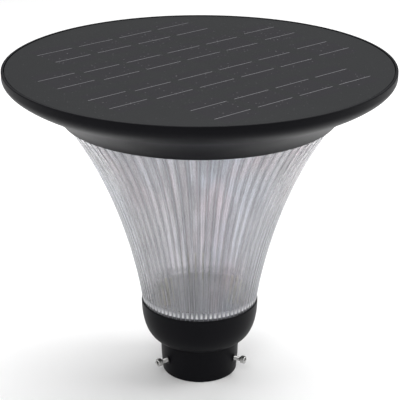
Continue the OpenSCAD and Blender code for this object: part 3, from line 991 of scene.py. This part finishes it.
@dataclass
class Disc:
    """The black housing on top, with its lip, rounded edge, cove and collar, and the panel in it."""

    maker: Maker
    lip: float = 3.2 * MM
    edge_flat: float = 7.5 * MM
    edge_drop: float = 14.8 * MM
    edge_turn: tuple[float, float] = (10.8 * MM, 22.3 * MM)
    cove_in: float = 24.6 * MM
    cove_drop: float = 29.5 * MM
    cove_turn: float = 14.4 * MM
    wall_turn: float = 17 * MM
    wall: tuple[float, float] = (2 * MM, 2.8 * MM)
    collar_r: float = 171 * MM
    bore_r: float = 169 * MM
    seat_r: float = 181 * MM
    ledge_in: float = 16 * MM
    ledge_drop: float = 21 * MM
    chamfer: float = 0.5 * MM
    boss_r: float = 13 * MM
    barrel_r: float = 8.1 * MM
    flange: float = 1.8 * MM
    panel_gap: float = 0.3 * MM
    turns: int = 288
    boss_turns: int = 72

    def outline(self) -> np.ndarray:
        """The housing's outline: lip, edge and cove as Bezier curves, then the bore, ledge and inner wall.

        Returns:
            Rows of (r, z).
        """
        low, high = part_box("top_housing")
        radius, top, bottom = high[1], high[2], low[2]
        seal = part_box("panel_seal")[0][2]
        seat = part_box("lens_gasket_top")[0][2]
        pocket, flat = radius - self.lip, top - self.edge_flat
        collar = bottom + self.chamfer
        cove_top = (radius - self.cove_in, top - self.cove_drop)
        lip = rounded((pocket, seal), (pocket, top, self.chamfer), (radius, top, 1.1 * MM), (radius, flat),
                      close=False)
        turn = (radius - self.edge_turn[0], top - self.edge_turn[1])
        edge = bezier((radius, flat), (radius, top - self.edge_drop), turn, cove_top, steps=22)
        cove = bezier(cove_top, (self.seat_r, bottom + self.cove_turn), (self.collar_r, collar), steps=26)
        bore = rounded((self.collar_r, collar), (self.collar_r - 0.4 * MM, bottom, 0.3 * MM),
                       (self.bore_r, bottom, 0.4 * MM), (self.bore_r, seat), (self.seat_r, seat), close=False)
        behind = (cove_top[0] - self.wall[0], cove_top[1] + self.wall[1])
        handle = (self.seat_r - self.wall[0], bottom + self.wall_turn)
        inner = bezier(behind, handle, (self.seat_r, seat), steps=8)[::-1]
        ledge_r = radius - self.ledge_in
        ledge = np.array([[ledge_r, top - self.ledge_drop], [ledge_r, seal]])
        return np.vstack([lip, edge[1:], cove[1:], bore[1:], inner[1:], ledge])

    def button_place(self) -> tuple[tuple[float, float, float], float]:
        """A point on the button's axis, and the height of the top of its bezel's flange."""
        low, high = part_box("switch_body")
        return ((low[0] + high[0]) / 2, (low[1] + high[1]) / 2, 0.0), low[2] + self.flange

    def boss(self) -> Surface:
        """The button's boss: a ring whose outer wall flares into the cove above it.

        Returns:
            The boss, in its place.
        """
        centre, flange = self.button_place()
        outer, straight = self.boss_r, flange + 3 * MM
        root = flange + 13 * MM
        flare = bezier((outer, straight), (outer, flange + 9 * MM), (outer + 3 * MM, root), steps=6)
        side = rounded((self.barrel_r, flange), (outer, flange, 1.2 * MM), (outer, straight), close=False)
        back = np.array([[outer - 2 * MM, root], [self.barrel_r, root - 2 * MM]])
        return revolve(np.vstack([side, flare[1:], back]), self.boss_turns).moved(np.eye(3), centre)

    def opening(self) -> Surface:
        """What is cut out of the housing for the button: a wide bore up to the bezel's flange, and a narrower
        one for its barrel.

        Returns:
            The cutter, in its place.
        """
        centre, flange = self.button_place()
        wide, below, above = self.boss_r - MM, flange - 22 * MM, flange + 36 * MM
        bore = np.array([[0.0, below], [wide, below], [wide, flange], [self.barrel_r, flange],
                         [self.barrel_r, above], [0.0, above]])
        return revolve(bore, self.boss_turns, close=False).moved(np.eye(3), centre)

    def build(self) -> None:
        """Makes the housing, the boss and the panel's face."""
        housing = self.maker.piece("disc_housing", revolve(self.outline(), self.turns), Palette.BLACK_COAT,
                                   slot="black_coat", stands_for=["top_housing"])
        self.maker.drill(housing, self.opening())
        self.maker.piece("button_boss", self.boss(), Palette.BLACK_COAT, slot="black_coat")
        low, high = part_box("panel_glass")
        rim = high[1] - self.panel_gap
        face = rounded((0.0, high[2]), (0.6 * high[1], high[2]), (rim, high[2], 0.5 * MM),
                       (rim, low[2], 0.3 * MM), (0.0, low[2]), close=False)
        self.maker.piece("panel_face", revolve(face, self.turns, close=False), Palette.PANEL,
                         slot="panel_face", stands_for=["panel_glass"])


@dataclass
class FlutedLens:
    """The trumpet lens: convex flutes on the outside that end in rounded tips above the foot, and a smooth
    inside."""

    maker: Maker
    flutes: int = FLUTES
    per_flute: int = 10
    wall: float = 3 * MM
    wall_lift: float = 0.6 * MM
    foot_r: float = 73.9 * MM
    top_r: float = 168.3 * MM
    mouth_r: float = 44 * MM
    depth: float = 0.10
    plain: float = 2.2 * MM
    tip: float = 3.5 * MM
    steps: int = 90
    inner_stride: int = 5
    crease: float = 25.0

    def outline(self) -> tuple[np.ndarray, np.ndarray]:
        """The lens's outline, and how deep the flutes are at each of its points.

        The outside is a cubic curve from the foot to the collar. The flutes' depth is a share of their
        pitch there. Above the plain stretch at the foot it grows along a quarter circle, over the tip's
        height, to its whole.

        Returns:
            Rows of (r, z), and one depth for each row.
        """
        low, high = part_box("lens")
        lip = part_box("base_housing")[1][2]
        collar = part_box("top_housing")[0][2]
        tall = collar - lip
        foot, top = self.foot_r, self.top_r
        outer = bezier((foot, lip), (foot + 11.7 * MM, lip + 0.32 * tall),
                       (top - 52.2 * MM, lip + 0.715 * tall), (top, collar), steps=self.steps)
        start = rounded((self.mouth_r, low[2] + self.wall), (self.mouth_r, low[2], 0.3 * MM),
                        (foot - 0.2 * MM, low[2], 0.3 * MM), (foot, lip), close=False)[:-1]
        flange = high[2] - self.wall
        flare = np.array([[top, flange], [high[1], flange], [high[1], high[2]], [top - self.wall, high[2]]])
        inner = (outer - [self.wall, -self.wall_lift])[::-self.inner_stride]
        outline = np.vstack([start, outer, flare, inner])
        ease = np.clip((outer[:, 1] - lip - self.plain) / self.tip, 0, 1)
        pitch = 2 * np.pi * outer[:, 0] / self.flutes
        depth = np.zeros(len(outline))
        depth[len(start):len(start) + len(outer)] = self.depth * pitch * np.sqrt(1 - (1 - ease) ** 2)
        return outline, depth

    def build(self) -> None:
        """Makes the lens. Across a flute the surface falls by its depth times the square of the distance
        from the flute's middle, so the flutes meet in sharp valleys."""
        outline, depth = self.outline()

        def ripple(row: np.ndarray, angle: np.ndarray) -> np.ndarray:
            """How far the surface stands inside the outline at each row and angle."""
            across = 2 * ((angle * self.flutes / (2 * np.pi)) % 1.0) - 1
            return -depth[row] * across ** 2

        lens = revolve(outline, self.flutes * self.per_flute, ripple)
        self.maker.piece("fluted_lens", lens, Palette.LENS, slot="clear_lens", stands_for=["lens"],
                         crease=self.crease)


@dataclass
class Base:
    """The black cup and neck, with the lip round the lens's foot and the holes for the clamp screws."""

    maker: Maker
    core: float = 47 * MM
    power: float = 2.3
    wall: float = 3 * MM
    socket_r: float = 43 * MM
    socket_depth: float = 46 * MM
    neck_r: float = 48.3 * MM
    neck_flare: tuple[float, float] = (1.7 * MM, 2.7 * MM)
    foot_edge: float = 0.9 * MM
    lip_w: float = 1.1 * MM
    seat_r: float = 62 * MM
    hole_r: float = 4.25 * MM
    sink_r: float = 5.7 * MM
    sink_from: float = 49.7 * MM
    turns: int = 216

    def bowl(self, top: float, drop: float, reach: float, shares: np.ndarray) -> np.ndarray:
        """A superellipse: the radius grows past the core by reach times (1 - share ** power) ** (1 / power),
        at each share of the drop below the top.

        Args:
            top: The height at a share of 0.
            drop: How far below it a share of 1 is.
            reach: How far the bowl stands out from the core at the top.
            shares: The shares.

        Returns:
            Rows of (r, z).
        """
        radius = self.core + reach * (1 - shares ** self.power) ** (1 / self.power)
        return np.stack([radius, top - drop * shares], axis=1)

    def outline(self) -> np.ndarray:
        """The base's outline: socket, neck, bowl, lip, ledge, and the bowl's inside.

        Returns:
            Rows of (r, z).
        """
        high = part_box("base_housing")[1]
        rim, lip = high[1], high[2]
        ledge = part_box("lens_gasket_bottom")[0][2]
        top = ledge + self.wall
        neck, socket, deep = self.neck_r, self.socket_r, self.socket_depth
        drop = top - deep + 0.5 * MM
        reach = rim - self.core
        bowl = self.bowl(top, drop, reach, np.sin(np.linspace(math.asin(0.985), 0.0, 26)))
        bowl = bowl[bowl[:, 1] < lip - 1.5 * MM]
        inside = self.bowl(top, drop - self.wall, reach - self.wall, np.linspace(0.3, 0.95, 8))
        stem = rounded((socket, deep), (socket, 0.0, self.foot_edge), (neck, 0.0, self.foot_edge),
                       (neck + self.neck_flare[0], 20 * MM), (neck + self.neck_flare[1], 45 * MM, 0.5 * MM),
                       bowl[0], close=False)[:-1]
        groove = rim - self.lip_w
        rim_top = rounded(bowl[-1], (rim, lip - MM, 0.4 * MM), (rim - 0.8 * MM, lip, 0.15 * MM),
                          (groove, lip), (groove, ledge), (self.seat_r, ledge),
                          (self.seat_r, ledge - self.wall), close=False)[1:]
        floor = np.array([[self.core, deep + 4 * MM], [0.0, deep + 4 * MM], [0.0, deep]])
        return np.vstack([stem, bowl, rim_top, inside, floor])

    def build(self, angles: Sequence[float]) -> None:
        """Makes the base and drills it for the thread inserts.

        Args:
            angles: The clamp screws' angles.
        """
        made = self.maker.piece("base_cup", revolve(self.outline(), self.turns), Palette.BLACK_COAT,
                                slot="black_coat", stands_for=["base_housing"])
        low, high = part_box("clamp_screw_1")
        level = (low[2] + high[2]) / 2
        start, end = self.socket_r - 5 * MM, 60 * MM
        hole = np.array([[0.0, start], [self.hole_r, start], [self.hole_r, self.sink_from],
                         [self.sink_r, self.sink_from], [self.sink_r, end], [0.0, end]])
        cutter = revolve(hole, 40, close=False)
        for angle in angles:
            self.maker.drill(made, cutter.moved(radial(angle), (0.0, 0.0, level)))


@dataclass
class ClampScrew:
    """An M6 socket-head cap screw: knurled head, hexagon socket, cut thread and a bored tip."""

    maker: Maker
    number: int
    angle: float
    seat: float = 60.1 * MM
    length: float = 16 * MM
    thread_r: float = 2.97 * MM
    thread_depth: float = 0.45 * MM
    pitch: float = 1.0 * MM
    head_r: float = 5 * MM
    head_h: float = 6 * MM
    socket_af: float = 5 * MM
    socket_depth: float = 3 * MM
    bore_r: float = 1.0 * MM
    bore_depth: float = 3.2 * MM
    knurls: int = 40
    knurl_depth: float = 0.16 * MM
    knurl_rows: int = 8
    thread_rows: int = 170
    columns: int = 120
    crease: float = 40.0

    def thread(self, angle: np.ndarray) -> np.ndarray:
        """The thread's rings: a triangle wave of height over pitch less angle over a turn, which fades at
        the tip and under the head.

        Args:
            angle: One row of angles.

        Returns:
            Rings of (r, z).
        """
        tip = -self.length
        z = np.linspace(tip + 0.35 * MM, -1.6 * MM, self.thread_rows)[:, None]
        wave = np.abs(2 * ((z / self.pitch - angle / (2 * np.pi)) % 1.0) - 1)
        fade = np.clip((z - tip) / MM, 0.35, 1) * np.clip((-z - 1.2 * MM) / MM, 0, 1)
        cut = self.thread_depth * (1 - wave * fade) * np.clip(fade * 3, 0, 1)
        return np.stack(np.broadcast_arrays(self.thread_r - cut, z), axis=-1)

    def knurl(self, angle: np.ndarray) -> np.ndarray:
        """The head's side: a cosine of the angle, whose depth follows a root of a sine up the side.

        Args:
            angle: One row of angles.

        Returns:
            Rings of (r, z).
        """
        z = np.linspace(0.7 * MM, self.head_h - 1.1 * MM, self.knurl_rows)[:, None]
        rise = np.linspace(0.08, 0.92, self.knurl_rows)[:, None]
        ridge = self.knurl_depth * (0.5 - 0.5 * np.cos(self.knurls * angle)) * np.sin(np.pi * rise) ** 0.3
        return np.stack(np.broadcast_arrays(self.head_r - ridge, z), axis=-1)

    def surface(self) -> Surface:
        """The screw along Z, with the head's underside at 0 and the head above it.

        The rows run from the tip's bore over the thread and the head into the socket, whose rows are a
        hexagon's radius at each angle.

        Returns:
            The screw.
        """
        angle = np.arange(self.columns)[None, :] * 2 * np.pi / self.columns

        def rings(*places: tuple[float, float]) -> np.ndarray:
            """Round rings, one for each (r, z)."""
            return np.array(places)[:, None, :] + 0 * angle[..., None]

        def hexagon(across: float, height: float) -> np.ndarray:
            """One ring on a hexagon."""
            return np.stack([regular(6, across, angle), height + 0 * angle], axis=-1)

        tip, top = -self.length, self.head_h
        bottom, floor = tip + self.bore_depth, top - self.socket_depth
        thread_r, head_r, across = self.thread_r, self.head_r, self.socket_af
        bore = rings((0.0, bottom), (self.bore_r, bottom), (self.bore_r, tip))
        face = rings((thread_r - 0.7 * MM, tip), (thread_r - 0.45 * MM, tip + 0.1 * MM))
        neck = rings((thread_r - 0.1 * MM, -0.5 * MM), (thread_r + 0.2 * MM, 0.0), (head_r - 0.6 * MM, 0.0),
                     (head_r - 0.15 * MM, 0.45 * MM))
        crown = rings((head_r - 0.05 * MM, top - 0.9 * MM), (head_r - 0.25 * MM, top - 0.35 * MM),
                      (head_r - 0.75 * MM, top), (3.45 * MM, top))
        socket = [hexagon(across + 0.5 * MM, top), hexagon(across, top - 0.25 * MM), hexagon(across, floor)]
        cone = rings((1.6 * MM, floor - 0.1 * MM), (0.0, floor - 0.9 * MM))
        rows = np.concatenate([bore, face, self.thread(angle), neck, self.knurl(angle), crown, *socket, cone])
        radius, height = rows[..., 0], rows[..., 1]
        return grid(np.stack([radius * np.cos(angle), radius * np.sin(angle), height], axis=-1), False)

    def build(self) -> None:
        """Makes the screw in its place, on its own body."""
        node = f"clamp_screw_{self.number}"
        low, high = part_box(node)
        level = (low[2] + high[2]) / 2
        place = (math.cos(self.angle) * self.seat, math.sin(self.angle) * self.seat, level)
        self.maker.piece(f"cap_screw_{self.number}", self.surface().moved(radial(self.angle), place),
                         Palette.STAINLESS, body=f"screw_{self.number}", slot="stainless", stands_for=[node],
                         crease=self.crease)


@dataclass
class PowerButton:
    """The push button under the disc: a domed rubber cap in a rounded bezel, with a return spring."""

    maker: Maker
    cap_r: float = 5.9 * MM
    dish_r: float = 3.4 * MM
    collar_t: float = 2 * MM
    flange: float = 1.8 * MM
    flange_r: float = 9.5 * MM
    barrel_r: float = 8.0 * MM
    bore_r: float = 6.2 * MM
    chamber_r: float = 7.3 * MM
    roof: float = 3 * MM
    wire_r: float = 0.4 * MM
    spring_gap: float = 0.1 * MM
    turns: int = 72

    def build(self) -> None:
        """Makes the cap, the bezel and the spring."""
        low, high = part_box("power_button")
        centre = ((low[0] + high[0]) / 2, (low[1] + high[1]) / 2, 0.0)
        cap = revolve(self.cap_outline(low[2], high[2], high[1] - centre[1]), self.turns, close=False)
        self.maker.piece("button_cap", cap.moved(np.eye(3), centre), Palette.RUBBER, body="button",
                         slot="button_rubber", stands_for=["power_button"])
        self.maker.piece("button_bezel", self.bezel().moved(np.eye(3), centre), Palette.BLACK_PLASTIC,
                         slot="black_plastic", stands_for=["switch_body"])
        self.build_spring(centre)

    def cap_outline(self, low: float, high: float, collar_r: float) -> np.ndarray:
        """The cap's outline: a shallow dome, the groove round it, the side, and the collar that keeps it in.

        Args:
            low: The height of the cap's face.
            high: The height of the collar's top.
            collar_r: The collar's radius.

        Returns:
            Rows of (r, z).
        """
        r, dish, shelf = self.cap_r, self.dish_r, high - self.collar_t
        edge = low + 0.35 * MM
        dome = bezier((0.0, low + 0.25 * MM), (dish - 0.8 * MM, low + 0.1 * MM), (dish, edge), steps=6)
        groove = rounded((dish, edge), (dish + 0.3 * MM, low + 0.55 * MM, 0.15 * MM),
                         (dish + 0.7 * MM, low, 0.2 * MM), (r, low, 0.7 * MM), (r, shelf, 0.2 * MM),
                         (collar_r, shelf, 0.2 * MM), (collar_r, high), (0.0, high), close=False)
        return np.vstack([dome, groove[1:]])

    def bezel(self) -> Surface:
        """The bezel and the barrel above it, closed at the top by a roof.

        Returns:
            The bezel about Z.
        """
        low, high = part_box("switch_body")
        face, top = low[2], high[2]
        flange, chamber_top = face + self.flange, top - self.roof
        chamber = flange + 2 * MM
        outline = rounded((self.bore_r, face, 0.4 * MM), (self.flange_r, face, 1.0 * MM),
                          (self.flange_r, flange), (self.barrel_r, flange), (self.barrel_r, top), (0.0, top),
                          (0.0, chamber_top), (self.chamber_r, chamber_top), (self.chamber_r, chamber),
                          (self.bore_r, chamber))
        return revolve(outline, self.turns)

    def build_spring(self, centre: Sequence[float]) -> None:
        """Makes the return spring. The share of its length that would stay with the button in is worked out,
        but the spring is not made to shorten.

        Args:
            centre: A point on the button's axis.
        """
        low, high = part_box("button_spring")
        coil_r = high[0] - centre[0] - self.wire_r
        spring = helix(coil_r, low[2] + self.wire_r, high[2] - self.wire_r, self.wire_r)
        made = self.maker.piece("return_spring", spring.moved(np.eye(3), centre), Palette.STAINLESS,
                                slot="stainless", stands_for=["button_spring"])
        travel = next(j["range_m"][1] for j in frame["joints"] if j["name"] == "button_press")
        top = high[2] + self.spring_gap
        keep = 1 - travel / (top - low[2] + self.spring_gap)
        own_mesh(made)


CAD_FINISHES: dict[Palette, Sequence[str]] = {
    Palette.ENCAPSULANT: ["panel_encapsulant", "panel_backsheet"],
    Palette.SILICON: ["solar_cells"],
    Palette.RIBBON: ["busbar_ribbons"],
    Palette.SILICONE: ["panel_seal", "cable_grommet", "lens_gasket_top", "lens_gasket_bottom"],
    Palette.BLACK_PLASTIC: ["junction_box", "battery_holder", "controller_parts"],
    Palette.RED_SLEEVE: ["panel_leads", "battery_leads", "led_leads", "switch_leads"],
    Palette.WRAP: ["battery_cells"],
    Palette.NICKEL: ["battery_tabs"],
    Palette.STAINLESS: ["battery_straps", "controller_screws", "bulkhead_screws", "led_screws", "base_studs",
                        "switch_nut"],
    Palette.BLACK_STEEL: ["thread_inserts"],
    Palette.GREEN_BOARD: ["controller_board"],
    Palette.BRASS: ["controller_standoffs", "base_standoffs"],
    Palette.ALUMINIUM: ["bulkhead_plate"],
    Palette.WHITE_BOARD: ["led_board"],
    Palette.PHOSPHOR: ["led_chips"],
    Palette.WHITE_COAT: ["light_reflector"],
    Palette.PALE_COAT: ["base_plate"],
    Palette.BRIGHT: ["base_nuts"],
    Palette.NYLON: ["clamp_pad_1", "clamp_pad_2", "clamp_pad_3"],
}


def dress_cad_nodes() -> None:
    """Gives every CAD node that stays its finish."""
    for choice, names in CAD_FINISHES.items():
        for name in names:
            node = frame["nodes"][name]
            node.data.materials.clear()
            node.data.materials.append(finish(choice))
            log.info("%s is finished in %s", name, choice.value.name)


# ---------------------------------------------------------------------------
# Studio
# ---------------------------------------------------------------------------

@dataclass(frozen=True)
class SoftBox:
    """A square area light: its place, the length of its side, and its power in watts."""

    place: tuple[float, float, float]
    size: float
    power: float


@dataclass
class Studio:
    """A pale floor, soft light from both sides, above and the front, and the camera."""

    lens: float = 123.9
    sensor: float = 36.0
    distance: float = 1.6159
    height: float = 0.880
    bearing: float = math.radians(-4.0)
    aim: tuple[float, float, float] = (0.0005, 0.0, 0.2347)
    light_aim: tuple[float, float, float] = (0.0, 0.0, 0.25)
    world: float = 0.38
    floor_size: float = 30.0
    floor_drop: float = 0.5 * MM
    soft_boxes: tuple[SoftBox, ...] = (
        SoftBox((1.6, -0.2, 1.6), 1.1, 20.0),
        SoftBox((-1.7, -0.2, 1.5), 1.1, 9.0),
        SoftBox((0.2, 0.8, 2.6), 2.4, 72.0),
        SoftBox((-0.5, -1.9, 1.9), 1.0, 15.0),
    )

    def point(self, made: bpy.types.Object, place: Sequence[float], aim: Sequence[float]) -> None:
        """Moves a light or a camera to a place and aims it at a point.

        Args:
            made: The light or the camera.
            place: Where it stands.
            aim: What it looks at.
        """
        made.location = place
        made.rotation_mode = "QUATERNION"
        made.rotation_quaternion = (Vector(aim) - Vector(place)).to_track_quat("-Z", "Y")

    def floor(self) -> None:
        """A large, flat, pale floor, just below the lamp's foot."""
        mesh = bpy.data.meshes.new("floor")
        size, level = self.floor_size, -self.floor_drop
        corners = [(-size, -size, level), (size, -size, level), (size, size, level), (-size, size, level)]
        mesh.from_pydata(corners, [], [(0, 1, 2, 3)])
        g = Graph("pale_floor")
        tone = g.blend(g.noise(3.0), (0.93, 0.93, 0.93), (0.95, 0.95, 0.95))
        mesh.materials.append(g.dress(Base_Color=tone, Roughness=0.9, Specular_IOR_Level=0.0))
        put("floor", mesh)

    def lights(self) -> None:
        """The world's even light, and one area light for each soft box."""
        world = bpy.data.worlds.new("studio")
        world.use_nodes = True
        background = world.node_tree.nodes["Background"]
        background.inputs["Color"].default_value = (1.0, 1.0, 1.0, 1.0)
        background.inputs["Strength"].default_value = self.world
        bpy.context.scene.world = world
        for k, box in enumerate(self.soft_boxes):
            data = bpy.data.lights.new(f"soft_box_{k}", "AREA")
            data.shape = "SQUARE"
            data.size = box.size
            data.energy = box.power
            self.point(put(data.name, data), box.place, self.light_aim)

    def camera(self) -> None:
        """The camera, on its bearing round the lamp, aimed at a point near the lamp's axis."""
        data = bpy.data.cameras.new("camera")
        data.lens = self.lens
        data.sensor_width = self.sensor
        made = put("camera", data)
        across, back = math.sin(self.bearing) * self.distance, -math.cos(self.bearing) * self.distance
        self.point(made, (across, back, self.height), self.aim)
        bpy.context.scene.camera = made

    def build(self) -> None:
        """Sets the whole studio."""
        bpy.context.scene.view_settings.view_transform = "Standard"
        self.floor()
        self.lights()
        self.camera()


def screw_angles() -> list[float]:
    """The clamp screws' angles, from the axes of their feed joints, which point inwards.

    Returns:
        One angle for each screw, in radians from +X.
    """
    feeds = {j["name"]: j["axis"] for j in frame["joints"] if j["name"].startswith("clamp_feed")}
    inward = [feeds[f"clamp_feed_{k}"] for k in range(1, SCREW_COUNT + 1)]
    return [math.atan2(-a[1], -a[0]) for a in inward]


def main() -> None:
    """Builds the lamp and the studio round it."""
    logging.basicConfig(level=logging.INFO)
    maker = Maker()
    angles = screw_angles()
    Studio().build()
    Disc(maker).build()
    FlutedLens(maker).build()
    Base(maker).build(angles)
    for number, angle in enumerate(angles, start=1):
        ClampScrew(maker, number, angle).build()
    PowerButton(maker).build()
    dress_cad_nodes()
    log.info("%d pieces were made", len(maker.made))


if __name__ == "__main__":
    main()
